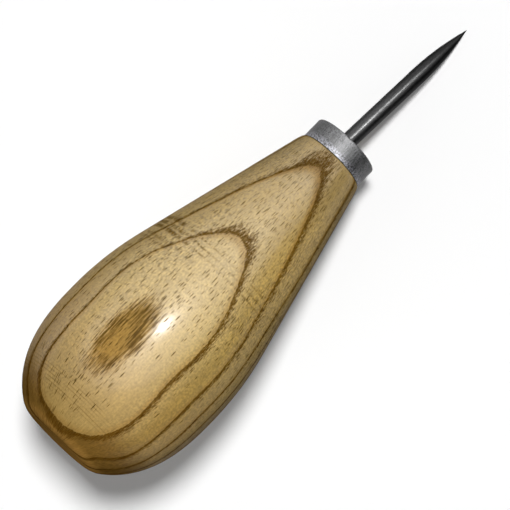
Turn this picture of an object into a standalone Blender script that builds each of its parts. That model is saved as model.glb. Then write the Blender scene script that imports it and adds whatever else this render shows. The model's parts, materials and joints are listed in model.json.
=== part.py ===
"""Leather awl: a turned wooden haft, a steel ferrule over the haft's tenon, and a round blade whose
square tang is driven into the haft.

Lengths are in metres. Each piece is turned about its own Z axis, and a station is a height on that
axis above the butt face. The finished awl lies on a bench, on its belly and on its point, with
+X from butt to point and +Z up.
"""

import math

import bmesh
import bpy
from mathutils import Vector

# Haft
HAFT_LENGTH = 0.0813  # butt face to the shoulder behind the ferrule
BUTT_FLAT_RADIUS = 0.0072  # flat face at the butt
BUTT_EDGE_RADIUS = 0.0091  # where the dome would meet the butt face with no rounding
BUTT_ROUND = 0.0010  # how far up the dome the rounded butt edge reaches
BELLY_RADIUS = 0.0200
BELLY_STATION = 0.0252
BELLY_FULLNESS = 2.61  # exponent of the dome between butt and belly: 2 is an ellipse
BELLY_ARC_RADIUS = 0.0697  # arc from the belly into the straight taper
NECK_RADIUS = 0.00805  # where the taper would meet the shoulder with no rounding
NECK_ROUND = 0.0020  # length of the rounding behind the shoulder

# Ferrule
FERRULE_LENGTH = 0.0047
FERRULE_RADIUS = 0.0077
FERRULE_WALL = 0.0012
FERRULE_RIM_ROUND = 0.0005  # outer edge of the front rim
FERRULE_MOUTH_CHAMFER = 0.0003  # inner edge of the front rim
TENON_RECESS = 0.0002  # the tenon's end lies this far behind the rim

# Blade
SHANK_RADIUS = 0.0018
BLADE_REACH = 0.0359  # front rim to the point
POINT_LENGTH = 0.0150  # pointed stretch of the blade
SHANK_BURIED = 0.0120  # front rim to the shoulder of the tang
TANG_LENGTH = 0.0360
TANG_ROOT_SIDE = 0.0023  # square section at the shoulder
TANG_END_SIDE = 0.0012
TANG_OVERLAP = 0.0020  # how far the tang's body runs into the shank that it is forged from
BLADE_LEAN = math.radians(2.45)  # the blade was driven in slightly askew
LEAN_CROSSING = 0.0067  # the blade's line crosses the haft's this far in front of the rim

# Fits
SEAT_GAP = 0.0003  # end gap of the ferrule at its shoulder, and of the tang in its socket
TENON_GAP = 0.0003  # radial gap between tenon and ferrule
BORE_GAP = 0.0003  # radial gap between blade and haft
CUT_OVERSHOOT = 0.0010  # how far the bore's cutter stands out of the tenon's end

# Smoothness of the turned pieces
HAFT_STEPS = 32
FERRULE_STEPS = 48
BLADE_STEPS = 24
CURVE_STEPS = 10  # points on a long curve of a profile
ROUND_STEPS = 4  # points on a small rounding
CURVE_CROWDING = 1.5  # above 1, the points of the dome and of the blade's point lie closer at the ends
MERGE_DISTANCE = 1e-6
SHARP_ANGLE = math.radians(30)

# Stations and sizes that follow from the ones above
FERRULE_BACK = HAFT_LENGTH + SEAT_GAP
RIM_STATION = FERRULE_BACK + FERRULE_LENGTH
FERRULE_BORE_RADIUS = FERRULE_RADIUS - FERRULE_WALL
TENON_RADIUS = FERRULE_BORE_RADIUS - TENON_GAP
TENON_END = RIM_STATION - TENON_RECESS
POINT_STATION = RIM_STATION + BLADE_REACH
SHOULDER_STATION = RIM_STATION - SHANK_BURIED
CROSSING_STATION = RIM_STATION + LEAN_CROSSING


def clear_scene():
    for obj in list(bpy.data.objects):
        bpy.data.objects.remove(obj, do_unlink=True)


def new_collection(name):
    collection = bpy.data.collections.new(name)
    bpy.context.scene.collection.children.link(collection)
    return collection


def new_material(name, colour, roughness, metallic):
    material = bpy.data.materials.new(name)
    material.use_nodes = True
    shader = material.node_tree.nodes["Principled BSDF"]
    shader.inputs["Base Color"].default_value = (*colour, 1.0)
    shader.inputs["Roughness"].default_value = roughness
    shader.inputs["Metallic"].default_value = metallic
    return material


def shares(count):
    """Even steps from 0 to 1, both ends included."""
    return [i / count for i in range(count + 1)]


def rounding(start, corner, end):
    """A smooth curve from start to end that would meet at corner, as (station, radius) points."""
    return [
        tuple((1 - t) ** 2 * a + 2 * t * (1 - t) * b + t**2 * c for a, b, c in zip(start, corner, end))
        for t in shares(ROUND_STEPS)
    ]


def dome_radius(station):
    """The haft's radius between the butt and the belly."""
    edge_share = (BUTT_EDGE_RADIUS / BELLY_RADIUS) ** 2
    depth = BELLY_STATION / (1 - edge_share) ** (1 / BELLY_FULLNESS)
    return BELLY_RADIUS * math.sqrt(1 - ((BELLY_STATION - station) / depth) ** BELLY_FULLNESS)


def dome():
    """From the butt's flat over its rounded edge to the belly. The steps are closest at the butt."""
    edge = rounding((0, BUTT_FLAT_RADIUS), (0, BUTT_EDGE_RADIUS), (BUTT_ROUND, dome_radius(BUTT_ROUND)))
    curve = [BUTT_ROUND + (BELLY_STATION - BUTT_ROUND) * t**CURVE_CROWDING for t in shares(CURVE_STEPS)]
    return edge + [(station, dome_radius(station)) for station in curve[1:]]


def taper_angle():
    """Slope of the taper: the line from the neck that touches the belly's arc."""
    along = HAFT_LENGTH - BELLY_STATION
    across = NECK_RADIUS - (BELLY_RADIUS - BELLY_ARC_RADIUS)
    to_neck = math.hypot(along, across)
    touch = math.atan2(across, along) + math.acos(BELLY_ARC_RADIUS / to_neck)
    return math.pi / 2 - touch


def belly_to_neck():
    """From the belly along its arc and the straight taper to the shoulder behind the ferrule."""
    slope = taper_angle()
    arc = [
        (
            BELLY_STATION + BELLY_ARC_RADIUS * math.sin(slope * t),
            BELLY_RADIUS - BELLY_ARC_RADIUS * (1 - math.cos(slope * t)),
        )
        for t in shares(CURVE_STEPS)
    ]
    round_start = (HAFT_LENGTH - NECK_ROUND, NECK_RADIUS + NECK_ROUND * math.tan(slope))
    return arc + rounding(round_start, (HAFT_LENGTH, NECK_RADIUS), (HAFT_LENGTH, FERRULE_RADIUS))


def haft_profile():
    """The haft's outside from the butt to the shoulder, as (station, radius) points."""
    return dome() + belly_to_neck()[1:]


def point_radius(from_tip):
    """The blade's radius in its pointed stretch, which curves into the shank with no edge."""
    curve = (SHANK_RADIUS**2 + POINT_LENGTH**2) / (2 * SHANK_RADIUS)
    return math.sqrt(curve**2 - (POINT_LENGTH - from_tip) ** 2) + SHANK_RADIUS - curve


def turned(name, profile, steps, material, collection, closed=False):
    """A solid turned about Z from (station, radius) points that run from the top to the bottom."""
    mesh = bpy.data.meshes.new(name)
    shape = bmesh.new()
    line = [shape.verts.new((radius, 0.0, station)) for station, radius in profile]
    for above, below in zip(line, line[1:] + (line[:1] if closed else [])):
        shape.edges.new((above, below))
    shape.to_mesh(mesh)
    shape.free()
    mesh.materials.append(material)
    obj = bpy.data.objects.new(name, mesh)
    collection.objects.link(obj)
    screw = obj.modifiers.new("turn", "SCREW")
    screw.steps = steps
    screw.render_steps = steps
    screw.use_merge_vertices = True
    screw.merge_threshold = MERGE_DISTANCE
    return obj


def square_taper(name, low, high, low_side, high_side, collection):
    """A four-sided taper between two stations, used to cut or to join."""
    mesh = bpy.data.meshes.new(name)
    shape = bmesh.new()
    to_corner = math.sqrt(0.5)
    bmesh.ops.create_cone(
        shape,
        cap_ends=True,
        segments=4,
        radius1=low_side * to_corner,
        radius2=high_side * to_corner,
        depth=high - low,
    )
    bmesh.ops.translate(shape, verts=shape.verts, vec=(0, 0, (low + high) / 2))
    shape.to_mesh(mesh)
    shape.free()
    obj = bpy.data.objects.new(name, mesh)
    collection.objects.link(obj)
    return obj


def as_helper(obj):
    obj.hide_render = True
    obj.display_type = "WIRE"
    return obj


def boolean(obj, other, operation):
    modifier = obj.modifiers.new(f"{operation.lower()} {other.name}", "BOOLEAN")
    modifier.operation = operation
    modifier.object = other


def apply_modifiers(obj):
    """Makes the evaluated shape the object's own mesh, smooth but for its edges."""
    bpy.context.view_layer.update()
    graph = bpy.context.evaluated_depsgraph_get()
    mesh = bpy.data.meshes.new_from_object(obj.evaluated_get(graph))
    obj.modifiers.clear()
    obj.data = mesh
    mesh.name = obj.name
    mesh.shade_smooth()
    mesh.set_sharp_from_angle(angle=SHARP_ANGLE)


def new_empty(name, collection, parent=None):
    empty = bpy.data.objects.new(name, None)
    collection.objects.link(empty)
    empty.parent = parent
    return empty


def follow(obj, line):
    """Lays an object that is made on the haft's axis along the blade's own line, which leans."""
    obj.parent = line
    obj.location.z = -CROSSING_STATION


def tang_side(station):
    """Side of the tang's square section at a station, carried on past both of its ends."""
    slope = (TANG_ROOT_SIDE - TANG_END_SIDE) / TANG_LENGTH
    return TANG_ROOT_SIDE - slope * (SHOULDER_STATION - station)


def make_blade(material, parts, helpers, line):
    """The round shank and its point, with the square tang behind the shank's shoulder."""
    from_tips = [POINT_LENGTH * t**CURVE_CROWDING for t in shares(CURVE_STEPS)]
    profile = [(POINT_STATION - from_tip, point_radius(from_tip)) for from_tip in from_tips]
    profile[0] = (POINT_STATION, 0.0)
    profile += [(SHOULDER_STATION, SHANK_RADIUS), (SHOULDER_STATION, 0.0)]
    blade = turned("awl_blade", profile, BLADE_STEPS, material, parts)
    root = SHOULDER_STATION + TANG_OVERLAP
    end = SHOULDER_STATION - TANG_LENGTH
    tang = as_helper(square_taper("tang", end, root, TANG_END_SIDE, tang_side(root), helpers))
    boolean(blade, tang, "UNION")
    for obj in (blade, tang):
        follow(obj, line)
    return blade


def make_haft(material, parts, helpers, axis, line):
    """The turned haft with its tenon, bored for the shank and for the tang."""
    half_step = math.pi / HAFT_STEPS
    outside = haft_profile()[::-1]
    tenon = [(TENON_END, 0.0), (TENON_END, TENON_RADIUS), (HAFT_LENGTH, TENON_RADIUS)]
    haft = turned("wooden_haft", tenon + outside + [(0.0, 0.0)], HAFT_STEPS, material, parts)
    haft.rotation_euler.z = half_step
    haft.parent = axis

    bore_radius = SHANK_RADIUS + BORE_GAP
    bore_end = SHOULDER_STATION - SEAT_GAP
    bore_top = TENON_END + CUT_OVERSHOOT
    bore_line = [(bore_top, 0.0), (bore_top, bore_radius), (bore_end, bore_radius), (bore_end, 0.0)]
    bore = as_helper(turned("shank_bore", bore_line, BLADE_STEPS, material, helpers))
    socket_end = SHOULDER_STATION - TANG_LENGTH - SEAT_GAP
    sides = [tang_side(station) + 2 * BORE_GAP for station in (socket_end, SHOULDER_STATION)]
    socket = as_helper(square_taper("tang_socket", socket_end, SHOULDER_STATION, *sides, helpers))
    for cutter in (bore, socket):
        follow(cutter, line)
        boolean(haft, cutter, "DIFFERENCE")
    return haft


def make_ferrule(material, parts, axis):
    """A steel ring over the tenon, with a rounded front rim."""
    rim_corner = (RIM_STATION, FERRULE_RADIUS)
    rim = rounding(
        (RIM_STATION, FERRULE_RADIUS - FERRULE_RIM_ROUND),
        rim_corner,
        (RIM_STATION - FERRULE_RIM_ROUND, FERRULE_RADIUS),
    )
    mouth = [
        (FERRULE_BACK, FERRULE_RADIUS),
        (FERRULE_BACK, FERRULE_BORE_RADIUS),
        (RIM_STATION - FERRULE_MOUTH_CHAMFER, FERRULE_BORE_RADIUS),
        (RIM_STATION, FERRULE_BORE_RADIUS + FERRULE_MOUTH_CHAMFER),
    ]
    ferrule = turned("ferrule", rim + mouth, FERRULE_STEPS, material, parts, closed=True)
    ferrule.parent = axis
    return ferrule


def bench_angle():
    """How far the haft's axis dips when the point and the belly, on one of its flats, touch the bench."""
    to_flat = math.cos(math.pi / HAFT_STEPS)
    outside = [(station, radius * to_flat) for station, radius in haft_profile()]
    outside += [(FERRULE_BACK, FERRULE_RADIUS), (RIM_STATION, FERRULE_RADIUS)]
    tip = CROSSING_STATION + (POINT_STATION - CROSSING_STATION) * math.cos(BLADE_LEAN)
    return max(math.atan2(radius, tip - station) for station, radius in outside)


def lay_on_bench(axis, pieces):
    """Turns the awl to lie along +X, and centres its box over the origin with its underside at z = 0."""
    axis.rotation_euler = (0.0, math.pi / 2 + bench_angle(), 0.0)
    bpy.context.view_layer.update()
    points = [piece.matrix_world @ vertex.co for piece in pieces for vertex in piece.data.vertices]
    low = [min(point[i] for point in points) for i in range(3)]
    high = [max(point[i] for point in points) for i in range(3)]
    axis.location = Vector((-(low[0] + high[0]) / 2, -(low[1] + high[1]) / 2, -low[2]))
    bpy.context.view_layer.update()


def main():
    clear_scene()
    parts = new_collection("leather_awl")
    helpers = new_collection("cutters")
    wood = new_material("lacquered_ash", (0.50, 0.34, 0.15), 0.35, 0.0)
    ferrule_steel = new_material("ferrule_steel", (0.30, 0.30, 0.31), 0.45, 1.0)
    blade_steel = new_material("blade_steel", (0.09, 0.09, 0.09), 0.3, 1.0)

    axis = new_empty("haft_axis", parts)
    line = new_empty("blade_line", parts, axis)
    line.location.z = CROSSING_STATION
    line.rotation_euler.x = BLADE_LEAN

    pieces = [
        make_haft(wood, parts, helpers, axis, line),
        make_ferrule(ferrule_steel, parts, axis),
        make_blade(blade_steel, parts, helpers, line),
    ]
    for piece in pieces:
        apply_modifiers(piece)
    lay_on_bench(axis, pieces)


main()
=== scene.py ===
"""Looks of the leather awl: a lacquered ash haft, a brushed steel ferrule and a ground steel blade.

Metres, +Z up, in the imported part's frame. Every piece is turned about the Z axis with the butt at zero, and
is then laid along the haft's axis, which the record's butt face gives. Patterns in the finishes are laid out
in millimetres from the middle of the butt: along the haft, across it, and up. The near flank, where across
is below zero, is the one at the lower right of the photograph.
"""

import functools
import json
import math
from types import SimpleNamespace

import bmesh
import bpy
from mathutils import Matrix, Vector


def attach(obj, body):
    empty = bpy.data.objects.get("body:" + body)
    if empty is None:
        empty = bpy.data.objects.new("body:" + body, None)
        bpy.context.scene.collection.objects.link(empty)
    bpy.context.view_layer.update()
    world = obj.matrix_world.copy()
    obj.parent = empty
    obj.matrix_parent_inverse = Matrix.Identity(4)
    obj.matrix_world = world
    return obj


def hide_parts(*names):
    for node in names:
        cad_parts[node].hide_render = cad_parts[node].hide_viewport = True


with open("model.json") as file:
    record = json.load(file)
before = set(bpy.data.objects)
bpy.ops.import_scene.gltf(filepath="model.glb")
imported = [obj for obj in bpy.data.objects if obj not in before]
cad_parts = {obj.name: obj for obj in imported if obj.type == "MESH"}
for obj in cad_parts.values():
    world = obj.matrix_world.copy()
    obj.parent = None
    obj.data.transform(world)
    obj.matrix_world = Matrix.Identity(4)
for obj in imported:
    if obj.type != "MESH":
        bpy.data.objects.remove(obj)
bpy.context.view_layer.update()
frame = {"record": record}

MM = 0.001

# Haft, as the part's source has it
HAFT_LENGTH = 0.0813
BUTT_FLAT_RADIUS = 0.0072
BUTT_EDGE_RADIUS = 0.0091
BUTT_ROUND = 0.0010
BELLY_RADIUS = 0.0200
BELLY_STATION = 0.0252
BELLY_FULLNESS = 2.61
BELLY_ARC_RADIUS = 0.0697
NECK_RADIUS = 0.00805
NECK_ROUND = 0.0020

# Ferrule
FERRULE_LENGTH = 0.0047
FERRULE_RADIUS = 0.0077
FERRULE_WALL = 0.0012
FERRULE_RIM_ROUND = 0.0005
FERRULE_BACK_ROUND = 0.00012
FERRULE_MOUTH_CHAMFER = 0.0003
TENON_RECESS = 0.0002

# Blade
SHANK_RADIUS = 0.0018
BLADE_REACH = 0.0359
POINT_LENGTH = 0.0150
SHANK_BURIED = 0.0120
TANG_LENGTH = 0.0360
TANG_ROOT_SIDE = 0.0023
TANG_END_SIDE = 0.0012
BLADE_LEAN = math.radians(2.45)
LEAN_CROSSING = 0.0067

# Clearances
SEAT_GAP = 0.0003
JOINT_GAP = 0.0001
TENON_GAP = 0.0003
BORE_GAP = 0.0003

# Stations from the butt
FERRULE_BACK = HAFT_LENGTH + JOINT_GAP
FERRULE_FRONT = HAFT_LENGTH + SEAT_GAP + FERRULE_LENGTH
TENON_END = FERRULE_FRONT - TENON_RECESS
POINT_STATION = FERRULE_FRONT + BLADE_REACH
SHOULDER_STATION = FERRULE_FRONT - SHANK_BURIED
TANG_END = SHOULDER_STATION - TANG_LENGTH
LEAN_STATION = FERRULE_FRONT + LEAN_CROSSING

# Fineness of the turned meshes
HAFT_STEPS = 256
FERRULE_STEPS = 256
BLADE_STEPS = 96
DOME_POINTS = 60
BELLY_POINTS = 30
TAPER_POINTS = 24
FERRULE_POINTS = 24
POINT_POINTS = 48
SHANK_POINTS = 20
ROUND_POINTS = 8
DOME_CROWDING = 1.5
MERGE_DISTANCE = 1e-6
SHARP_ANGLE = math.radians(40)

# Camera: fitted to the outline of the awl in a photograph of 510 by 510 pixels
CAMERA_DISTANCE = 0.620
CAMERA_LENS_MM = 212.7
CAMERA_LEAN = math.radians(3.170)
CAMERA_ROLL = math.radians(45.746)
CENTRE_AHEAD_OF_BELLY = 0.03047
CENTRE_BESIDE_AXIS = -0.00237
CAMERA_NEAREST = 0.01

# The haft's axis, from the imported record
butt_face = frame["record"]["mounts"][0]
BUTT = Vector(butt_face["pos_m"])
AXIS = -Vector(butt_face["axis"]).normalized()
DIP = math.atan2(-AXIS.z, AXIS.x)
HAFT_FRAME = Matrix.Translation(BUTT) @ Matrix.Rotation(math.pi / 2 + DIP, 4, "Y")
LEAN = (
    Matrix.Translation((0, 0, LEAN_STATION))
    @ Matrix.Rotation(BLADE_LEAN, 4, "X")
    @ Matrix.Translation((0, 0, -LEAN_STATION))
)


def spaced(count):
    """Shares from 0 to 1, both ends included."""
    return [step / count for step in range(count + 1)]


def rounding(start, corner, end):
    """Points of a soft corner between two points of an outline."""
    points = []
    for share in spaced(ROUND_POINTS):
        rest = 1 - share
        blend = [rest**2 * a + 2 * share * rest * b + share**2 * c for a, b, c in zip(start, corner, end)]
        points.append(tuple(blend))
    return points


def line(start, end, count):
    """Evenly spaced points of a straight stretch of an outline."""
    return [tuple(a + (b - a) * share for a, b in zip(start, end)) for share in spaced(count)]


def dome_radius(station):
    """Radius of the haft between the butt and the belly."""
    edge_share = (BUTT_EDGE_RADIUS / BELLY_RADIUS) ** 2
    depth = BELLY_STATION / (1 - edge_share) ** (1 / BELLY_FULLNESS)
    return BELLY_RADIUS * math.sqrt(1 - ((BELLY_STATION - station) / depth) ** BELLY_FULLNESS)


def taper_angle():
    """Slope of the straight taper that leaves the belly's arc and meets the neck."""
    along = HAFT_LENGTH - BELLY_STATION
    across = NECK_RADIUS - (BELLY_RADIUS - BELLY_ARC_RADIUS)
    touch = math.atan2(across, along) + math.acos(BELLY_ARC_RADIUS / math.hypot(along, across))
    return math.pi / 2 - touch


def point_radius(from_tip):
    """Radius of the blade's curved point, at a distance from its tip."""
    curve = (SHANK_RADIUS**2 + POINT_LENGTH**2) / (2 * SHANK_RADIUS)
    return math.sqrt(curve**2 - (POINT_LENGTH - from_tip) ** 2) + SHANK_RADIUS - curve


def without_repeats(outline):
    """The outline with each point once."""
    kept = outline[:1]
    for point in outline[1:]:
        if math.dist(point, kept[-1]) > MERGE_DISTANCE:
            kept.append(point)
    return kept


def turned(outline, steps, closed=False):
    """Mesh of an outline of (station, radius) points, turned once round the Z axis."""
    shape = bmesh.new()
    points = [shape.verts.new((radius, 0, station)) for station, radius in without_repeats(outline)]
    follows = points[1:] + points[:1] if closed else points[1:]
    edges = [shape.edges.new(pair) for pair in zip(points, follows)]
    bmesh.ops.spin(
        shape,
        geom=points + edges,
        cent=(0, 0, 0),
        axis=(0, 0, 1),
        angle=math.tau,
        steps=steps,
        use_merge=True,
    )
    bmesh.ops.remove_doubles(shape, verts=shape.verts, dist=MERGE_DISTANCE)
    return shape


def finished(shape, name, node, material, place=HAFT_FRAME):
    """Lays a turned mesh along the haft's axis and makes it the piece that stands for a node of the part."""
    bmesh.ops.transform(shape, matrix=place, verts=shape.verts)
    bmesh.ops.recalc_face_normals(shape, faces=shape.faces)
    for face in shape.faces:
        face.smooth = True
    mesh = bpy.data.meshes.new(name)
    shape.to_mesh(mesh)
    shape.free()
    mesh.set_sharp_from_angle(angle=SHARP_ANGLE)
    mesh.materials.append(material)
    piece = bpy.data.objects.new(name, mesh)
    bpy.context.scene.collection.objects.link(piece)
    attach(piece, "root")
    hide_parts(node)


def haft_outline():
    """The haft from the middle of its butt round the outside to its tenon, then down the bore."""
    slope = taper_angle()
    outline = [(0, 0), (0, BUTT_FLAT_RADIUS / 2)]
    dome = (BUTT_ROUND, dome_radius(BUTT_ROUND))
    outline += rounding((0, BUTT_FLAT_RADIUS), (0, BUTT_EDGE_RADIUS), dome)
    for share in spaced(DOME_POINTS):
        station = BUTT_ROUND + (BELLY_STATION - BUTT_ROUND) * share**DOME_CROWDING
        outline.append((station, dome_radius(station)))
    for share in spaced(BELLY_POINTS):
        turn = slope * share
        station = BELLY_STATION + BELLY_ARC_RADIUS * math.sin(turn)
        outline.append((station, BELLY_RADIUS - BELLY_ARC_RADIUS * (1 - math.cos(turn))))
    neck = (HAFT_LENGTH - NECK_ROUND, NECK_RADIUS + NECK_ROUND * math.tan(slope))
    outline += line(outline[-1], neck, TAPER_POINTS)
    outline += rounding(neck, (HAFT_LENGTH, NECK_RADIUS), (HAFT_LENGTH, FERRULE_RADIUS))
    tenon = FERRULE_RADIUS - FERRULE_WALL - TENON_GAP
    bore = SHANK_RADIUS + BORE_GAP
    tang_root = TANG_ROOT_SIDE / math.sqrt(2) + BORE_GAP
    tang_tip = TANG_END_SIDE / math.sqrt(2) + BORE_GAP
    outline += [(HAFT_LENGTH, tenon), (TENON_END, tenon), (TENON_END, bore)]
    outline += [(SHOULDER_STATION - BORE_GAP, bore), (SHOULDER_STATION - BORE_GAP, tang_root)]
    outline += [(TANG_END - BORE_GAP, tang_tip), (TANG_END - BORE_GAP, 0)]
    return outline


def wooden_haft(material):
    """One turned piece of wood, bored in line with the leaning blade."""
    shape = turned(haft_outline(), HAFT_STEPS)
    bore = SHANK_RADIUS + BORE_GAP + MERGE_DISTANCE
    walls = [v for v in shape.verts if v.co.xy.length < bore and v.co.z > TANG_END - 2 * BORE_GAP]
    bmesh.ops.transform(shape, matrix=LEAN, verts=walls)
    finished(shape, "turned_haft", "wooden_haft", material)


def ferrule_outline():
    """The ferrule's wall: out at the back, over the rounded rim and back along the bore."""
    back = FERRULE_BACK
    front = FERRULE_FRONT
    outside = FERRULE_RADIUS
    bore = outside - FERRULE_WALL
    shoulder = back + FERRULE_BACK_ROUND
    rim = front - FERRULE_RIM_ROUND
    mouth = front - FERRULE_MOUTH_CHAMFER
    outline = rounding((back, outside - FERRULE_BACK_ROUND), (back, outside), (shoulder, outside))
    outline += line((shoulder, outside), (rim, outside), FERRULE_POINTS)
    outline += rounding((rim, outside), (front, outside), (front, outside - FERRULE_RIM_ROUND))
    outline += [(front, bore + FERRULE_MOUTH_CHAMFER), (mouth, bore), (back, bore)]
    return outline


def ferrule(material):
    """The short steel ring on the tenon."""
    shape = turned(ferrule_outline(), FERRULE_STEPS, closed=True)
    finished(shape, "ferrule_ring", "ferrule", material)


def blade_outline():
    """The blade from its tip along the curved point and the shank to the end of the tang."""
    outline = []
    for share in spaced(POINT_POINTS):
        from_tip = POINT_LENGTH * share
        outline.append((POINT_STATION - from_tip, point_radius(from_tip)))
    outline += line(outline[-1], (SHOULDER_STATION, SHANK_RADIUS), SHANK_POINTS)
    outline += [(SHOULDER_STATION, TANG_ROOT_SIDE / 2), (TANG_END, TANG_END_SIDE / 2), (TANG_END, 0)]
    return outline


def square_tang(shape):
    """Makes the blade's tang square, as wide across its flats as its outline says."""
    for vert in shape.verts:
        behind = vert.co.z < SHOULDER_STATION + MERGE_DISTANCE
        widest = max(abs(vert.co.x), abs(vert.co.y))
        if behind and 0 < widest and vert.co.xy.length < SHANK_RADIUS - MERGE_DISTANCE:
            vert.co.x, vert.co.y = vert.co.xy * (vert.co.xy.length / widest)


def awl_blade(material):
    """The steel: round where it shows, with a square tapered tang inside the haft."""
    shape = turned(blade_outline(), BLADE_STEPS)
    square_tang(shape)
    finished(shape, "steel_blade", "awl_blade", material, HAFT_FRAME @ LEAN)


# Sockets of a Mix node that mixes colours
MIX_SHARE = 0
MIX_FIRST = 6
MIX_SECOND = 7
MIX_RESULT = 2


class Finish:
    """One material's nodes, with a short call for each kind that the finishes use."""

    def __init__(self, name):
        self.material = bpy.data.materials.new(name)
        self.material.use_nodes = True
        self.tree = self.material.node_tree
        self.shader = self.tree.nodes["Principled BSDF"]
        turn = Matrix.Rotation(-DIP, 3, "Y")
        laid = self.node("Mapping", self.node("TexCoord").outputs["Object"])
        laid.inputs["Location"].default_value = turn @ BUTT / -MM
        laid.inputs["Rotation"].default_value = turn.to_euler()
        laid.inputs["Scale"].default_value = (1 / MM, 1 / MM, 1 / MM)
        self.place = laid.outputs[0]
        self.along, self.across, self.up = self.node("SeparateXYZ", self.place).outputs

    def feed(self, socket, value):
        """Links a socket, or sets its value."""
        if isinstance(value, bpy.types.NodeSocket):
            self.tree.links.new(value, socket)
        else:
            socket.default_value = value

    def node(self, kind, *values, **settings):
        """A node of a kind, with its settings and its first inputs."""
        made = self.tree.nodes.new("ShaderNode" + kind)
        for name, setting in settings.items():
            setattr(made, name, setting)
        for socket, value in zip(made.inputs, values):
            self.feed(socket, value)
        return made

    def math(self, operation, *values):
        """One step of arithmetic."""
        return self.node("Math", *values, operation=operation).outputs[0]

    def product(self, *values):
        """All values multiplied."""
        return functools.reduce(functools.partial(self.math, "MULTIPLY"), values)

    def total(self, *values):
        """All values added up."""
        return functools.reduce(functools.partial(self.math, "ADD"), values)

    def most(self, *values):
        """The largest of the values."""
        return functools.reduce(functools.partial(self.math, "MAXIMUM"), values)

    def ease(self, value, low, high, at_low=0.0, at_high=1.0):
        """A soft step: at_low where the value is low, at_high where it is high."""
        return self.node(
            "MapRange", value, low, high, at_low, at_high, interpolation_type="SMOOTHSTEP", clamp=True
        ).outputs[0]

    def swing(self, noise, span):
        """Noise from 0 to 1, spread over a span about zero."""
        return self.math("MULTIPLY_ADD", noise, span, -span / 2)

    def spots(self, place, length, width):
        """A place measured in spots that have a length along the haft and a width across it."""
        scale = (1 / length, 1 / width, 1 / width)
        return self.node("VectorMath", place, scale, operation="MULTIPLY").outputs[0]

    def grain(self, length, width, seed, detail=2.0, rough=0.5, on=None):
        """Noise from 0 to 1 whose spots have a length along the haft and a width across it."""
        noise = self.node("TexNoise", self.spots(on or self.place, length, width), noise_dimensions="4D")
        noise.inputs["W"].default_value = seed
        noise.inputs["Scale"].default_value = 1.0
        noise.inputs["Detail"].default_value = detail
        noise.inputs["Roughness"].default_value = rough
        return noise.outputs[0]

    def dashes(self, length, width, on):
        """Scattered dashes along the haft: distance from the nearest, and two random shares for each."""
        cells = self.node("TexVoronoi", self.spots(on, length, width))
        cells.inputs["Scale"].default_value = 1.0
        share, strength = self.node("SeparateColor", cells.outputs["Color"]).outputs[:2]
        return cells.outputs["Distance"], share, strength

    def mix(self, share, first, second):
        """A colour between two colours."""
        made = self.node("Mix", data_type="RGBA")
        self.feed(made.inputs[MIX_SHARE], share)
        self.feed(made.inputs[MIX_FIRST], first)
        self.feed(made.inputs[MIX_SECOND], second)
        return made.outputs[MIX_RESULT]

    def scaled(self, colour, level):
        """A colour made darker or lighter."""
        made = self.node("VectorMath", colour, operation="SCALE")
        self.feed(made.inputs["Scale"], level)
        return made.outputs[0]

    def bump(self, height, depth):
        """Surface relief of a height from 0 to 1, as deep as given in metres."""
        made = self.node("Bump")
        made.inputs["Strength"].default_value = 1.0
        made.inputs["Distance"].default_value = depth
        self.feed(made.inputs["Height"], height)
        self.feed(self.shader.inputs["Normal"], made.outputs[0])

    def set(self, **values):
        """Sets or links the shader's own sockets; an underscore in a name stands for a space."""
        for name, value in values.items():
            self.feed(self.shader.inputs[name.replace("_", " ")], value)


# In the finishes below, a soft step is written (from, to) or (from, to, value before, value after). Stations
# run along the haft, sides run across it or round its skin, and levels run up. A grain is written (length,
# width, seed), then its detail and roughness, and an oval (station, aside, length, width). Lengths are in
# millimetres, apart from the depth of a relief, which is in metres.

# Radius that patterns on the haft's skin are laid out on
SKIN_RADIUS = 17.0


class TurnedWood(Finish):
    """A finish of the haft, with patterns that run through the wood and others that lie on its skin."""

    def __init__(self, name):
        super().__init__(name)
        around = self.node("CombineXYZ", 0.0, self.across, self.up).outputs[0]
        radius = self.node("VectorMath", around, operation="LENGTH").outputs["Value"]
        spread = self.math("DIVIDE", SKIN_RADIUS, self.math("MAXIMUM", radius, NECK_RADIUS / MM))
        widened = self.node("CombineXYZ", 1.0, spread, spread).outputs[0]
        self.skin = self.node("VectorMath", self.place, widened, operation="MULTIPLY").outputs[0]
        self.aside = self.node("SeparateXYZ", self.skin).outputs["Y"]

    def skin_grain(self, *grain):
        """Noise moved out to one radius, so that it runs along the haft's slopes and not into them."""
        return self.grain(*grain, on=self.skin)

    def area(self, stations, sides):
        """Where a soft step along the haft and one across it meet."""
        return self.product(self.ease(self.along, *stations), self.ease(self.across, *sides))

    def oval(self, station, aside, length, width):
        """Squared distance from the middle of an oval on the haft's upper side, 1 at its edge."""
        along = self.math("DIVIDE", self.math("SUBTRACT", self.along, station), length)
        across = self.math("DIVIDE", self.math("SUBTRACT", self.across, aside), width)
        return self.math("MULTIPLY_ADD", along, along, self.math("MULTIPLY", across, across))


# Growth rings: bent shells, one under the other, that the turning cuts open
RING_FIRST_LEVEL = 18.50
RING_SPACING = 3.14
RING_CROWN_STATION = 23.7
RING_CROWN_ASIDE = -5.3
RING_BUTT_BEND = 40.0
RING_SIDE_BEND = 41.0
RING_NECK_ROUND = 1.05
RING_NECK_SLOPE = 0.127

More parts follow.
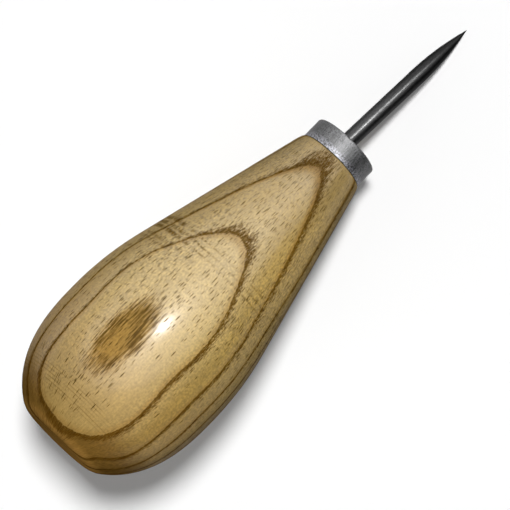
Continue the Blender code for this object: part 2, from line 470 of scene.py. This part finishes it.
# Where the shells dip further, or rise
FLANK_STATIONS = (42.0, 62.0)
FLANK_SIDES = (2.0, 8.0)
FLANK_DIP_STATIONS = (62.0, 78.0, 0.05, -0.15)
WAIST_START_STATIONS = (38.0, 52.0)
WAIST_STOP_STATIONS = (60.0, 76.0, 1.0, 0.0)
WAIST_SIDES = (-7.0, 0.0)
WAIST_DIP = 0.20
DOME_STATIONS = (5.0, 16.0, 1.0, 0.0)
DOME_FAR_DIP_SIDES = (4.0, 10.0, 0.0, 0.45)
DOME_NEAR_DIP_SIDES = (-12.0, -8.0, 0.50, 0.0)
BUTT_DIP_STATIONS = (0.3, 2.4, 0.80, 0.0)
TILT_STATIONS = (35.0, 60.0)
TAPER_TILT = -0.05

# On the flanks the third ring lies further below the second
FAR_STRETCH = 0.37
FAR_STRETCH_SIDES = (-6.0, 12.0, 0.0, FAR_STRETCH)
NEAR_STRETCH_STATIONS = (38.0, 62.0)
NEAR_STRETCH_SIDES = (-8.0, -2.0, 0.24, 0.0)


def ring_drops(wood):
    """How far the rings' shells lie below their crown at a place, drop by drop."""
    ahead = wood.math("SUBTRACT", wood.along, RING_CROWN_STATION)
    behind = wood.math("MINIMUM", ahead, 0.0)
    butt_drop = wood.math("DIVIDE", wood.product(behind, behind), 2 * RING_BUTT_BEND)
    beyond = wood.math("MULTIPLY", wood.math("MAXIMUM", ahead, 0.0), RING_NECK_SLOPE)
    neck_curve = wood.math("MULTIPLY_ADD", beyond, beyond, RING_NECK_ROUND**2)
    neck_drop = wood.math("SUBTRACT", wood.math("SQRT", neck_curve), RING_NECK_ROUND)
    flank_drop = wood.product(
        wood.area(FLANK_STATIONS, FLANK_SIDES),
        wood.ease(wood.along, *FLANK_DIP_STATIONS),
    )
    waist_drop = wood.product(
        wood.ease(wood.along, *WAIST_START_STATIONS),
        wood.ease(wood.along, *WAIST_STOP_STATIONS),
        wood.ease(wood.across, *WAIST_SIDES),
        WAIST_DIP,
    )
    far_dip = wood.ease(wood.across, *DOME_FAR_DIP_SIDES)
    near_dip = wood.ease(wood.across, *DOME_NEAR_DIP_SIDES)
    dome_drop = wood.product(wood.ease(wood.along, *DOME_STATIONS), wood.total(far_dip, near_dip))
    edge_drop = wood.ease(wood.along, *BUTT_DIP_STATIONS)
    tilt_drop = wood.product(wood.ease(wood.along, *TILT_STATIONS), TAPER_TILT, wood.across)
    aside = wood.math("SUBTRACT", wood.across, RING_CROWN_ASIDE)
    side_drop = wood.math("DIVIDE", wood.product(aside, aside), 2 * RING_SIDE_BEND)
    return butt_drop, neck_drop, flank_drop, waist_drop, dome_drop, edge_drop, tilt_drop, side_drop


def ring_depth(wood):
    """How far below the first growth ring's shell a place lies."""
    depth = wood.math("SUBTRACT", RING_FIRST_LEVEL, wood.total(wood.up, *ring_drops(wood)))
    below_second = wood.math("MAXIMUM", wood.math("SUBTRACT", depth, RING_SPACING), 0.0)
    below_second = wood.math("MINIMUM", below_second, RING_SPACING / (1 - FAR_STRETCH))
    far = wood.ease(wood.across, *FAR_STRETCH_SIDES)
    near = wood.area(NEAR_STRETCH_STATIONS, NEAR_STRETCH_SIDES)
    return wood.math("SUBTRACT", depth, wood.product(below_second, wood.total(far, near)))


# A ring's frayed edge
FRAY_FINE_GRAIN = (0.75, 0.17, 2.0, 2.0)
FRAY_FINE = 1.15
FRAY_COARSE_GRAIN = (3.0, 0.5, 2.5, 2.0)
FRAY_COARSE = 0.6
FRAY_STATIONS = (18.0, 46.0, 0.5, 1.0)
MEAN_GRAIN = 0.5


def ring_fray(wood):
    """Unevenness of a ring's edge, where its pores run out along the grain; calmer near the butt."""
    fine = wood.math("SUBTRACT", wood.skin_grain(*FRAY_FINE_GRAIN), MEAN_GRAIN)
    coarse = wood.math("SUBTRACT", wood.skin_grain(*FRAY_COARSE_GRAIN), MEAN_GRAIN)
    fray = wood.math("MULTIPLY_ADD", coarse, FRAY_COARSE, wood.math("MULTIPLY", fine, FRAY_FINE))
    return wood.math("MULTIPLY", fray, wood.ease(wood.along, *FRAY_STATIONS))


# How many times as broad a ring's dark line is, from place to place
NEAR_BREADTH_SIDES = (-14.0, 6.0, 1.3, 0.65)
FAR_BREADTH_SIDES = (5.0, 10.0, 1.0, 0.75)
TAPER_BREADTH_STATIONS = (36.0, 56.0, 0.6, 1.05)
BUTT_BREADTH_STATIONS = (6.0, 17.0, 1.7, 0.7)
NECK_BREADTH_STATIONS = (72.0, 79.0, 0.6, 1.6)
NECK_BREADTH_LEVELS = (6.0, 8.0)


def ring_breadth(wood):
    """How broad a ring's dark line is: slim on the belly's far flank, broadest at the butt and the neck."""
    near = wood.ease(wood.aside, *NEAR_BREADTH_SIDES)
    far = wood.ease(wood.aside, *FAR_BREADTH_SIDES)
    taper = wood.product(wood.ease(wood.along, *TAPER_BREADTH_STATIONS), far)
    butt = wood.ease(wood.along, *BUTT_BREADTH_STATIONS)
    on_top = wood.ease(wood.up, *NECK_BREADTH_LEVELS)
    neck = wood.product(wood.ease(wood.along, *NECK_BREADTH_STATIONS), on_top)
    return wood.most(near, taper, butt, neck)


# What shows of a ring: its dark line with paler gaps, pores beside it, and the late wood before it
RING_WANDER_GRAIN = (20.0, 9.0, 1.0)
RING_WANDER = 0.1
RING_FRAY = 0.3
RING_LINE_EDGE = (0.16, 0.50, 1.0, 0.0)
RING_GAP_GRAIN = (1.1, 0.15, 3.0, 2.0)
RING_GAPS = (0.42, 0.64, 0.98, 0.72)
RING_TAN_EDGE = (-0.15, 0.25)
RING_BROWN = (0.088, 0.037, 0.0008, 1)
RING_TAN = (0.155, 0.074, 0.004, 1)
POROUS_EDGE = (0.2, 1.8, 1.0, 0.0)
LATE_WOOD_EDGE = (0.0, 0.45, 1.0, 0.0)
LATE_WOOD_STATIONS = (45.0, 72.0, 0.45, 0.8)


def growth_rings(wood):
    """The rings on the skin: depth, dark line, the line as drawn, its colour, porous side and late wood."""
    fray = ring_fray(wood)
    breadth = ring_breadth(wood)
    wander = wood.swing(wood.grain(*RING_WANDER_GRAIN), RING_WANDER)
    depth = wood.math("ADD", ring_depth(wood), wander)
    depth = wood.math("MULTIPLY_ADD", wood.product(fray, breadth), RING_FRAY, depth)
    ring_share = wood.math("FRACT", wood.math("DIVIDE", depth, RING_SPACING))
    in_ring = wood.math("MULTIPLY", ring_share, RING_SPACING)
    to_next = wood.math("DIVIDE", wood.math("SUBTRACT", RING_SPACING, in_ring), breadth)
    frayed = wood.math("ADD", wood.math("DIVIDE", in_ring, breadth), fray)
    ring_line = wood.ease(frayed, *RING_LINE_EDGE)
    gaps = wood.ease(wood.skin_grain(*RING_GAP_GRAIN), *RING_GAPS)
    return SimpleNamespace(
        depth=depth,
        line=ring_line,
        drawn=wood.product(ring_line, gaps),
        colour=wood.mix(wood.ease(fray, *RING_TAN_EDGE), RING_BROWN, RING_TAN),
        porous=wood.ease(frayed, *POROUS_EDGE),
        late=wood.product(wood.ease(to_next, *LATE_WOOD_EDGE), wood.ease(wood.along, *LATE_WOOD_STATIONS)),
    )


# The eye, where the turning grazes the next ring's pores
EYE_STATION = 22.6
EYE_ASIDE = 5.2
EYE_LENGTH = 10.8
EYE_WIDTH = 4.6
EYE_LEVELS = (6.0, 10.0)
EYE_EDGE = (-0.75, 0.05, 1.0, 0.0)
EYE_FRAY = -2.2
EYE_STREAK_GRAIN = (4.4, 0.24, 4.0, 3.0, 0.66)
EYE_STREAK_EDGE = (0.42, 0.60)
EYE_PATCH_GRAIN = (7.0, 1.5, 4.5, 1.0)
EYE_PATCHES = 0.22
EYE_HEART_OVAL = (20.8, 5.2, 3.8, 1.7)
EYE_HEART_EDGE = (0.1, 1.4, 0.11, 0.0)
EYE_AMBER_SHARE = 0.8
EYE_AMBER = (0.36, 0.205, 0.040, 1)
EYE_BROWN = (0.12, 0.065, 0.010, 1)


def grazed_eye(wood):
    """The streaked eye on top of the belly: the area that it covers, and its dark streaks."""
    streaks = wood.skin_grain(*EYE_STREAK_GRAIN)
    middle = wood.oval(EYE_STATION, EYE_ASIDE, EYE_LENGTH, EYE_WIDTH)
    edge = wood.ease(wood.math("MULTIPLY_ADD", streaks, EYE_FRAY, middle), *EYE_EDGE)
    heart = wood.ease(wood.oval(*EYE_HEART_OVAL), *EYE_HEART_EDGE)
    patches = wood.swing(wood.skin_grain(*EYE_PATCH_GRAIN), EYE_PATCHES)
    dark = wood.math("SUBTRACT", wood.math("ADD", streaks, patches), heart)
    return SimpleNamespace(
        area=wood.product(edge, wood.ease(wood.up, *EYE_LEVELS)),
        streaks=wood.ease(dark, *EYE_STREAK_EDGE),
    )


# Long and short pores: their length and width, and the share of them that shows at the butt and on the taper
LONG_PORES = (2.7, 0.37, 0.20, 0.50)
SHORT_PORES = (1.8, 0.27, 0.05, 0.55)
PORE_STATIONS = (14.0, 40.0)
PORES_BY_RING = 0.4
PORES_BY_EYE = (0.3, 1.3, 0.4, 0.0)
PORES_BY_EYE_OVAL = (EYE_STATION, EYE_ASIDE, 1.4 * EYE_LENGTH, 1.7 * EYE_WIDTH)
FEWER_PORES_STATIONS = (28.0, 42.0, 0.3, 0.0)
FEWER_PORES_SIDES = (-3.0, 2.0, 1.0, 0.0)
PORE_CHOICE = (-0.03, 0.03)
PORE_EDGE = (0.18, 0.36, 1.0, 0.0)
PORE_STRENGTH = (0.0, 1.0, 0.55, 1.0)
PORE_BROWN = (0.095, 0.050, 0.007, 1)
PORE_DEPTH = 0.00001


def open_pores(wood, porous):
    """Pores that the turning cut open, as dashes along the grain, crowded beside the rings and the eye."""
    by_eye = wood.ease(wood.oval(*PORES_BY_EYE_OVAL), *PORES_BY_EYE)
    by_eye = wood.product(by_eye, wood.ease(wood.up, *EYE_LEVELS))
    fewer = wood.area(FEWER_PORES_STATIONS, FEWER_PORES_SIDES)
    patches = wood.math("SUBTRACT", by_eye, fewer)
    sizes = []
    for length, width, at_butt, on_taper in (LONG_PORES, SHORT_PORES):
        away, share, strength = wood.dashes(length, width, wood.skin)
        crowd = wood.ease(wood.along, *PORE_STATIONS, at_butt, on_taper)
        crowd = wood.math("ADD", wood.math("MULTIPLY_ADD", porous, PORES_BY_RING, crowd), patches)
        there = wood.ease(wood.math("SUBTRACT", crowd, share), *PORE_CHOICE)
        sizes.append(wood.product(wood.ease(away, *PORE_EDGE), there, wood.ease(strength, *PORE_STRENGTH)))
    return wood.most(*sizes)


# Marks of the turning tool: lines round the waist and the far flank, and finer ones round the dome
WAIST_MARKS = (45.7, 47.1, 48.6)
WAIST_MARK_SEED = 7.0
WAIST_MARK_SPREAD_SIDES = (6.0, 12.0, 0.9, 2.3)
WAIST_FAR_SIDES = (1.0, 9.0, 0.2, 1.0)
WAIST_NEAR_SIDES = (-7.0, -5.0, 0.55, 0.0)
WAIST_NEAREST_SIDES = (-12.5, -9.5, 0.1, 1.0)
WAIST_LEVELS = (-6.0, 3.0, 0.15, 1.0)
FLANK_MARKS = (42.0, 43.1)
FLANK_MARK_SEED = 7.7
FLANK_MARK_SPREAD = 2.0
FLANK_MARK_SIDES = (9.0, 12.0, 0.0, 0.6)
MARK_SEED_STEP = 0.3
MARK_WOBBLE_SIZE = (3.0, 3.0)
MARK_WOBBLE = 0.3
MARK_EDGE = (0.08, 0.38, 1.0, 0.0)
MARK_PATCH_SIZE = (6.0, 4.0)
MARK_PATCH_DETAIL = 1.0
MARK_PATCH_EDGE = (0.30, 0.46)
MARK_BREAK_SIZE = (0.8, 0.35)
MARK_BREAK_EDGE = (0.32, 0.58)
MARK_BROWN = (0.16, 0.090, 0.018, 1)
DOME_LINE_PITCH = 0.64
DOME_LINE_EDGE = (0.1, 0.9, 0.0, 0.4)
DOME_LINE_START_STATIONS = (5.4, 6.4)
DOME_LINE_STOP_STATIONS = (8.6, 10.6, 1.0, 0.0)
DOME_LINE_SIDES = (-9.0, -4.0)
DOME_LINE_GRAIN = (2.0, 5.0, 8.0, 1.0)
DOME_LINE_WEAR = (0.30, 0.60)


def tool_marks(wood, stations, seed, spread):
    """Broken dark lines round the haft, left by the turning tool."""
    wobble = wood.swing(wood.grain(*MARK_WOBBLE_SIZE, seed), MARK_WOBBLE)
    place = wood.math("ADD", wood.along, wobble)
    marks = []
    for station in stations:
        away = wood.math("ABSOLUTE", wood.math("SUBTRACT", place, station))
        marks.append(wood.ease(wood.math("DIVIDE", away, spread), *MARK_EDGE))
    patchy = wood.skin_grain(*MARK_PATCH_SIZE, seed + MARK_SEED_STEP, MARK_PATCH_DETAIL)
    broken = wood.skin_grain(*MARK_BREAK_SIZE, seed + 2 * MARK_SEED_STEP)
    there = wood.product(wood.ease(patchy, *MARK_PATCH_EDGE), wood.ease(broken, *MARK_BREAK_EDGE))
    return wood.product(wood.most(*marks), there)


def waist_wear(wood):
    """Where the tool marks round the waist show: most on the far flank, least on top."""
    far = wood.ease(wood.aside, *WAIST_FAR_SIDES)
    nearest = wood.ease(wood.aside, *WAIST_NEAREST_SIDES)
    near = wood.product(wood.ease(wood.aside, *WAIST_NEAR_SIDES), nearest)
    return wood.product(wood.most(far, near), wood.ease(wood.up, *WAIST_LEVELS))


def dome_lines(wood):
    """Fine lines round the dome, close together, left by the turning tool."""
    wave = wood.math("SINE", wood.math("MULTIPLY", wood.along, math.tau / DOME_LINE_PITCH))
    start = wood.ease(wood.along, *DOME_LINE_START_STATIONS)
    stop = wood.ease(wood.along, *DOME_LINE_STOP_STATIONS)
    lines = wood.product(wood.ease(wave, *DOME_LINE_EDGE), wood.product(start, stop))
    worn = wood.ease(wood.skin_grain(*DOME_LINE_GRAIN), *DOME_LINE_WEAR)
    return wood.product(lines, wood.product(worn, wood.ease(wood.aside, *DOME_LINE_SIDES)))


def turning_marks(wood):
    """All marks of the turning tool together."""
    spread = wood.ease(wood.aside, *WAIST_MARK_SPREAD_SIDES)
    waist = wood.product(tool_marks(wood, WAIST_MARKS, WAIST_MARK_SEED, spread), waist_wear(wood))
    flank = tool_marks(wood, FLANK_MARKS, FLANK_MARK_SEED, FLANK_MARK_SPREAD)
    flank = wood.product(flank, wood.ease(wood.aside, *FLANK_MARK_SIDES))
    return wood.most(dome_lines(wood), waist, flank)


# The wood between rings: pale above the first ring, deeper below it, browner towards the butt's end grain and
# over the far side of the dome, more on top than underneath
PALE_WOOD = (0.46, 0.318, 0.100, 1)
DEEP_WOOD = (0.40, 0.260, 0.059, 1)
LATE_WOOD = (0.31, 0.165, 0.030, 1)
END_AND_FAR_DOME_BROWN = (0.225, 0.127, 0.025, 1)
BUTT_BROWN = (0.44, 0.245, 0.055, 1)
DEEP_WOOD_EDGE = (-0.2, 2.5)
CLOUD_GRAIN = (14.0, 5.0, 6.0, 3.0)
CLOUDS = 0.6
FIRST_RING_EDGE = (-0.1, 0.4)
END_GRAIN_STATIONS = (4.0, 12.0, 1.0, 0.0)
BROWN_DOME_LEVELS = (-6.0, 5.0, 0.35, 1.0)
FAR_DOME_STATIONS = (8.0, 48.0, 0.40, 0.0)
FAR_DOME_SIDES = (-8.0, 0.0)
BUTT_FACE_STATIONS = (0.4, 2.0, 0.85, 0.0)


def wood_between_rings(wood, rings, cloud):
    """Colour of the wood without its rings, pores and marks."""
    deep = wood.math("ADD", wood.ease(rings.depth, *DEEP_WOOD_EDGE), wood.swing(cloud, CLOUDS))
    colour = wood.mix(wood.ease(deep, 0.0, 1.0), PALE_WOOD, DEEP_WOOD)
    colour = wood.mix(rings.late, colour, LATE_WOOD)
    # browner over the far side of the dome and belly, more on top than underneath
    far_dome = wood.area(FAR_DOME_STATIONS, FAR_DOME_SIDES)
    browner = wood.most(wood.ease(wood.along, *END_GRAIN_STATIONS), far_dome)
    browner = wood.product(browner, wood.ease(wood.up, *BROWN_DOME_LEVELS))
    below_first = wood.ease(rings.depth, *FIRST_RING_EDGE)
    colour = wood.mix(wood.product(browner, below_first), colour, END_AND_FAR_DOME_BROWN)
    return wood.mix(wood.ease(wood.along, *BUTT_FACE_STATIONS), colour, BUTT_BROWN)


# How light the wood is: fibres, flecks and mottling, darker towards the taper and the neck, and painted
# shade: darker on the far flank, the far dome and towards the butt, lighter on the near flank and near taper
FIBRE_GRAIN = (3.0, 0.16, 5.0, 3.0)
FIBRE_CONTRAST = (0.25, 0.75, 0.90, 1.10)
FLECK_GRAIN = (0.5, 0.36, 9.0, 1.0)
FLECK_CONTRAST = (0.25, 0.75, -0.2, 0.2)
FLECK_STATIONS = (30.0, 44.0, 0.65, 1.0)
FLECK_SIDES = (4.0, 9.0, 1.0, 1.8)
MOTTLE_GRAIN = (6.0, 2.0, 6.5, 2.0)
MOTTLE_CONTRAST = (0.3, 0.7, 0.94, 1.06)
PAINTED_BUTT_SHADE_STATIONS = (6.0, 30.0, 0.92, 1.0)
TAPER_SHADE_STATIONS = (28.0, 72.0, 1.0, 0.80)
NECK_SHADE_STATIONS = (66.0, 76.0, 1.0, 0.87)
PAINTED_SHADE_SIDES = (-10.0, 12.0, 1.14, 0.92)
PAINTED_DOME_SHADE_STATIONS = (8.0, 20.0, 0.14, 0.0)
PAINTED_DOME_SHADE_SIDES = (-6.0, 10.0)
PAINTED_TAPER_LIGHT_STATIONS = (42.0, 56.0, 0.0, 0.25)
PAINTED_TAPER_LIGHT_SIDES = (-8.0, -3.0, 1.0, 0.0)
DARK_NECK_STATIONS = (68.0, 78.0, 0.0, 0.04)
DARK_NECK_SIDES = (1.0, 5.0)

# Green and blue that the wood keeps towards the butt, where it is warmer
WARM_GREEN_STATIONS = (10.0, 36.0, 0.945, 1.0)
WARM_BLUE_STATIONS = (10.0, 36.0, 0.93, 1.0)


def lightness_and_painted_shade(wood):
    """How light the wood is at a place, with painted shade and painted light in it, 1 where its colour stays
    as it is.
    """
    flecks = wood.product(
        wood.ease(wood.skin_grain(*FLECK_GRAIN), *FLECK_CONTRAST),
        wood.ease(wood.along, *FLECK_STATIONS),
        wood.ease(wood.math("ABSOLUTE", wood.across), *FLECK_SIDES),
    )
    return wood.product(
        wood.ease(wood.along, *TAPER_SHADE_STATIONS),
        wood.ease(wood.skin_grain(*FIBRE_GRAIN), *FIBRE_CONTRAST),
        wood.math("ADD", flecks, 1.0),
        # painted shade on the far flank, painted light on the near flank
        wood.ease(wood.across, *PAINTED_SHADE_SIDES),
        # painted shade over the far side of the dome
        wood.math("SUBTRACT", 1.0, wood.area(PAINTED_DOME_SHADE_STATIONS, PAINTED_DOME_SHADE_SIDES)),
        # painted shade towards the butt
        wood.ease(wood.along, *PAINTED_BUTT_SHADE_STATIONS),
        # painted light on the near side of the taper
        wood.math("ADD", 1.0, wood.area(PAINTED_TAPER_LIGHT_STATIONS, PAINTED_TAPER_LIGHT_SIDES)),
        wood.math("SUBTRACT", 1.0, wood.area(DARK_NECK_STATIONS, DARK_NECK_SIDES)),
        wood.ease(wood.along, *NECK_SHADE_STATIONS),
        wood.ease(wood.skin_grain(*MOTTLE_GRAIN), *MOTTLE_CONTRAST),
    )


def warmed(wood, colour):
    """A colour of the wood, a little warmer towards the butt."""
    green = wood.ease(wood.along, *WARM_GREEN_STATIONS)
    blue = wood.ease(wood.along, *WARM_BLUE_STATIONS)
    warmth = wood.node("CombineXYZ", 1.0, green, blue).outputs[0]
    return wood.node("VectorMath", colour, warmth, operation="MULTIPLY").outputs[0]


# Lacquer: a clear film with a soft coat, duller in open grain, at the butt and on the near flank
FILM_IOR = 1.45
FILM_ROUGHNESS = (0.3, 0.7, 0.16, 0.20)
FILM_FACING = (0.2, 0.6, 0.3, 0.0)
COAT_IOR = 1.7
COAT_ROUGHNESS = 0.5
COAT_FACING = (0.25, 0.75, 1.0, 0.5)
FACING_BLEND = 0.5
OPEN_GRAIN_DULLING = -0.95
POLISH_STATIONS = (2.0, 12.0)
POLISH_SIDES = (-14.0, -3.0, 0.65, 1.0)


def lacquered_ash():
    """Flat-sawn ring-porous wood under a clear gloss lacquer."""
    wood = TurnedWood("lacquered_ash")
    cloud = wood.grain(*CLOUD_GRAIN)
    rings = growth_rings(wood)
    pores = open_pores(wood, rings.porous)
    eye = grazed_eye(wood)
    marks = turning_marks(wood)

    colour = wood_between_rings(wood, rings, cloud)
    colour = wood.mix(wood.product(eye.area, EYE_AMBER_SHARE), colour, EYE_AMBER)
    colour = wood.mix(wood.product(eye.area, eye.streaks), colour, EYE_BROWN)
    colour = wood.mix(marks, colour, MARK_BROWN)
    colour = wood.mix(rings.drawn, colour, rings.colour)
    colour = wood.mix(pores, colour, PORE_BROWN)
    colour = wood.scaled(colour, lightness_and_painted_shade(wood))

    facing = wood.node("LayerWeight", FACING_BLEND).outputs["Facing"]
    open_grain = wood.most(rings.line, pores, marks, eye.area, rings.late)
    filled = wood.math("MULTIPLY_ADD", open_grain, OPEN_GRAIN_DULLING, 1.0)
    polish = wood.product(wood.area(POLISH_STATIONS, POLISH_SIDES), filled)
    wood.set(
        Base_Color=warmed(wood, colour),
        Roughness=wood.ease(cloud, *FILM_ROUGHNESS),
        IOR=FILM_IOR,
        Specular_IOR_Level=wood.product(wood.ease(facing, *FILM_FACING), polish),
        Coat_Weight=wood.product(wood.ease(facing, *COAT_FACING), polish),
        Coat_IOR=COAT_IOR,
        Coat_Roughness=COAT_ROUGHNESS,
    )
    wood.bump(wood.math("SUBTRACT", 1.0, pores), PORE_DEPTH)
    return wood.material


# The ferrule's steel
BRUSHING_GRAIN = (2.2, 0.10, 11.0, 3.0)
BRUSHING_EDGE = (0.3, 0.7)
FERRULE_BLOTCH_GRAIN = (2.5, 0.9, 12.0, 3.0)
FERRULE_BLOTCH_EDGE = (0.5, 0.72, 0.0, 0.8)
FERRULE_SPECK_GRAIN = (0.34, 0.26, 13.0, 2.0)
FERRULE_PIT_EDGE = (0.32, 0.60, 0.8, 0.0)
FERRULE_BRIGHT_BACK_STATIONS = (FERRULE_BACK / MM, FERRULE_BACK / MM + 1.8, 0.9, 0.0)
FERRULE_BRIGHT_BACK_EDGE = (0.40, 0.62)
FERRULE_ROUGHNESS = (0.3, 0.7, 0.40, 0.54)
FERRULE_RELIEF = 0.00003
STEEL_PIT = (0.04, 0.04, 0.04, 1)
STEEL_DARK = (0.10, 0.10, 0.10, 1)
STEEL_LIGHT = (0.20, 0.20, 0.205, 1)
STEEL_BRIGHT_BACK = (0.36, 0.36, 0.40, 1)
STEEL_EDGE = (0.7, 0.7, 0.7, 1)


def brushed_steel():
    """Dull grey steel of the ferrule, brushed along the axis and brighter at its back edge."""
    steel = Finish("brushed_steel")
    brushing = steel.grain(*BRUSHING_GRAIN)
    blotch = steel.grain(*FERRULE_BLOTCH_GRAIN)
    speck = steel.grain(*FERRULE_SPECK_GRAIN)
    colour = steel.mix(steel.ease(brushing, *BRUSHING_EDGE), STEEL_DARK, STEEL_LIGHT)
    colour = steel.mix(steel.ease(speck, *FERRULE_PIT_EDGE), colour, STEEL_PIT)
    colour = steel.mix(steel.ease(blotch, *FERRULE_BLOTCH_EDGE), colour, STEEL_DARK)
    # brighter steel along the ferrule's back edge
    back_edge = steel.ease(steel.along, *FERRULE_BRIGHT_BACK_STATIONS)
    bright_back = steel.product(back_edge, steel.ease(speck, *FERRULE_BRIGHT_BACK_EDGE))
    steel.set(
        Base_Color=steel.mix(bright_back, colour, STEEL_BRIGHT_BACK),
        Metallic=1.0,
        Specular_Tint=STEEL_EDGE,
        Roughness=steel.ease(speck, *FERRULE_ROUGHNESS),
    )
    steel.bump(steel.total(brushing, speck), FERRULE_RELIEF)
    return steel.material


# The blade's steel, darker towards its point
DRAWING_GRAIN = (6.0, 0.08, 21.0, 3.0)
DRAWING_EDGE = (0.3, 0.7)
BLADE_BLOTCH_GRAIN = (2.0, 0.5, 22.0, 3.0)
BLADE_SPECK_GRAIN = (0.5, 0.25, 23.0, 2.0)
BLADE_PIT_EDGE = (0.35, 0.65, 0.5, 0.0)
BLADE_SHADE_STATIONS = (86.0, 119.0, 1.25, 0.35)
BLADE_ROUGHNESS = (0.3, 0.7, 0.29, 0.37)
BLADE_RELIEF = 0.00001
BLADE_PIT = (0.018, 0.018, 0.018, 1)
BLADE_DARK = (0.035, 0.035, 0.035, 1)
BLADE_LIGHT = (0.058, 0.058, 0.058, 1)
BLADE_EDGE = (0.5, 0.5, 0.5, 1)


def ground_steel():
    """Dark satin steel of the blade, ground lengthwise."""
    steel = Finish("ground_steel")
    drawing = steel.grain(*DRAWING_GRAIN)
    blotch = steel.grain(*BLADE_BLOTCH_GRAIN)
    speck = steel.grain(*BLADE_SPECK_GRAIN)
    colour = steel.mix(steel.ease(drawing, *DRAWING_EDGE), BLADE_DARK, BLADE_LIGHT)
    colour = steel.mix(steel.ease(speck, *BLADE_PIT_EDGE), colour, BLADE_PIT)
    steel.set(
        Base_Color=steel.scaled(colour, steel.ease(steel.along, *BLADE_SHADE_STATIONS)),
        Metallic=1.0,
        Specular_Tint=BLADE_EDGE,
        Roughness=steel.ease(blotch, *BLADE_ROUGHNESS),
    )
    steel.bump(steel.total(drawing, speck), BLADE_RELIEF)
    return steel.material


# Floor, just under the awl so that belly and point don't cut into it
FLOOR_SIZE = 60.0
FLOOR_DROP = 0.0001
FLOOR_WHITE = (0.83, 0.83, 0.83, 1)
FLOOR_DIM = (0.06, 0.06, 0.06, 1)
FLOOR_GLOW = 0.14
WHITE = (1, 1, 1, 1)


def white_floor():
    """A plain white sheet under the awl, white where it is seen and dim where it would light the awl."""
    shape = bmesh.new()
    bmesh.ops.create_grid(shape, x_segments=1, y_segments=1, size=FLOOR_SIZE / 2)
    bmesh.ops.translate(shape, vec=(0, 0, -FLOOR_DROP), verts=shape.verts)
    mesh = bpy.data.meshes.new("floor")
    shape.to_mesh(mesh)
    shape.free()
    paper = Finish("white_paper")
    ray = paper.node("LightPath").outputs
    seen = paper.most(ray["Is Camera Ray"], ray["Is Glossy Ray"], ray["Is Transmission Ray"])
    paper.set(
        Base_Color=paper.mix(seen, FLOOR_DIM, FLOOR_WHITE),
        Emission_Color=WHITE,
        Emission_Strength=paper.product(seen, FLOOR_GLOW),
        Roughness=1.0,
        Specular_IOR_Level=0.0,
    )
    mesh.materials.append(paper.material)
    floor = bpy.data.objects.new("floor", mesh)
    bpy.context.scene.collection.objects.link(floor)


# Lamps: the direction that each is seen in, its level, and the angle that it fills
LAMP_DISTANCE = 2.0
WINDOW_TOWARDS = (0.436, 0.090, 0.896)
WINDOW_LEVEL = 0.6
WINDOW_LENGTH = math.radians(11)
WINDOW_BREADTH = math.radians(3.5)
ABOVE_TOWARDS = (0.290, 0.198, 0.936)
ABOVE_LEVEL = 1.0
ABOVE_ANGLE = math.radians(14)
SKY_TOWARDS = (0.608, 0.323, 0.725)
SKY_LEVEL = 1.40
SKY_ANGLE = math.radians(110)
BUTT_LIGHT_TOWARDS = (-0.95, 0.05, 0.31)
BUTT_LIGHT_LEVEL = 0.24
BUTT_LIGHT_ANGLE = math.radians(40)
ROOM_LEVEL = 0.03


def lamp(name, kind, towards, level):
    """A lamp seen in a direction; at a level of 1 it would light a white sheet that faces it to white."""
    light = bpy.data.lights.new(name, kind)
    made = bpy.data.objects.new(name, light)
    made.rotation_mode = "QUATERNION"
    made.rotation_quaternion = Vector(towards).to_track_quat("Z", "Y")
    made.location = Vector(towards).normalized() * LAMP_DISTANCE
    reach = LAMP_DISTANCE**2 * math.pi if kind == "AREA" else 1
    light.energy = level * math.pi * reach
    bpy.context.scene.collection.objects.link(made)
    return made


def lamp_size(angle):
    """Size of an area lamp that fills an angle."""
    return 2 * LAMP_DISTANCE * math.tan(angle / 2)


def studio():
    """A lamp above lights the awl, window and sky show in its gloss alone, a weak lamp reaches the butt."""
    window = lamp("window", "AREA", WINDOW_TOWARDS, WINDOW_LEVEL)
    window.data.shape = "ELLIPSE"
    window.data.size = lamp_size(WINDOW_LENGTH)
    window.data.size_y = lamp_size(WINDOW_BREADTH)
    window.visible_diffuse = False
    above = lamp("lamp_above", "SUN", ABOVE_TOWARDS, ABOVE_LEVEL)
    above.data.angle = ABOVE_ANGLE
    above.visible_glossy = False
    sky = lamp("sky_light", "SUN", SKY_TOWARDS, SKY_LEVEL)
    sky.data.angle = SKY_ANGLE
    sky.visible_diffuse = False
    butt_light = lamp("butt_light", "SUN", BUTT_LIGHT_TOWARDS, BUTT_LIGHT_LEVEL)
    butt_light.data.angle = BUTT_LIGHT_ANGLE
    butt_light.data.use_shadow = False
    butt_light.visible_glossy = False


def dim_room():
    """A little even light from all sides, and colours shown as they are."""
    room = bpy.data.worlds.new("room")
    room.use_nodes = True
    background = room.node_tree.nodes["Background"]
    background.inputs["Color"].default_value = WHITE
    background.inputs["Strength"].default_value = ROOM_LEVEL
    bpy.context.scene.world = room
    bpy.context.scene.view_settings.view_transform = "Standard"


def photo_camera():
    """The camera, above the awl and turned as in the photograph."""
    lens = bpy.data.cameras.new("photo_camera")
    lens.lens = CAMERA_LENS_MM
    lens.clip_start = CAMERA_NEAREST
    camera = bpy.data.objects.new("photo_camera", lens)
    turn = Matrix.Rotation(CAMERA_LEAN, 4, "Y")
    ahead, beside, back = [turn.col[i].to_3d() for i in range(3)]
    belly = BUTT + AXIS * BELLY_STATION
    centre = belly + ahead * CENTRE_AHEAD_OF_BELLY + beside * CENTRE_BESIDE_AXIS
    place = Matrix.Translation(centre + back * CAMERA_DISTANCE)
    camera.matrix_world = place @ turn @ Matrix.Rotation(-CAMERA_ROLL, 4, "Z")
    bpy.context.scene.collection.objects.link(camera)
    bpy.context.scene.camera = camera


wooden_haft(lacquered_ash())
ferrule(brushed_steel())
awl_blade(ground_steel())
white_floor()
studio()
dim_room()
photo_camera()
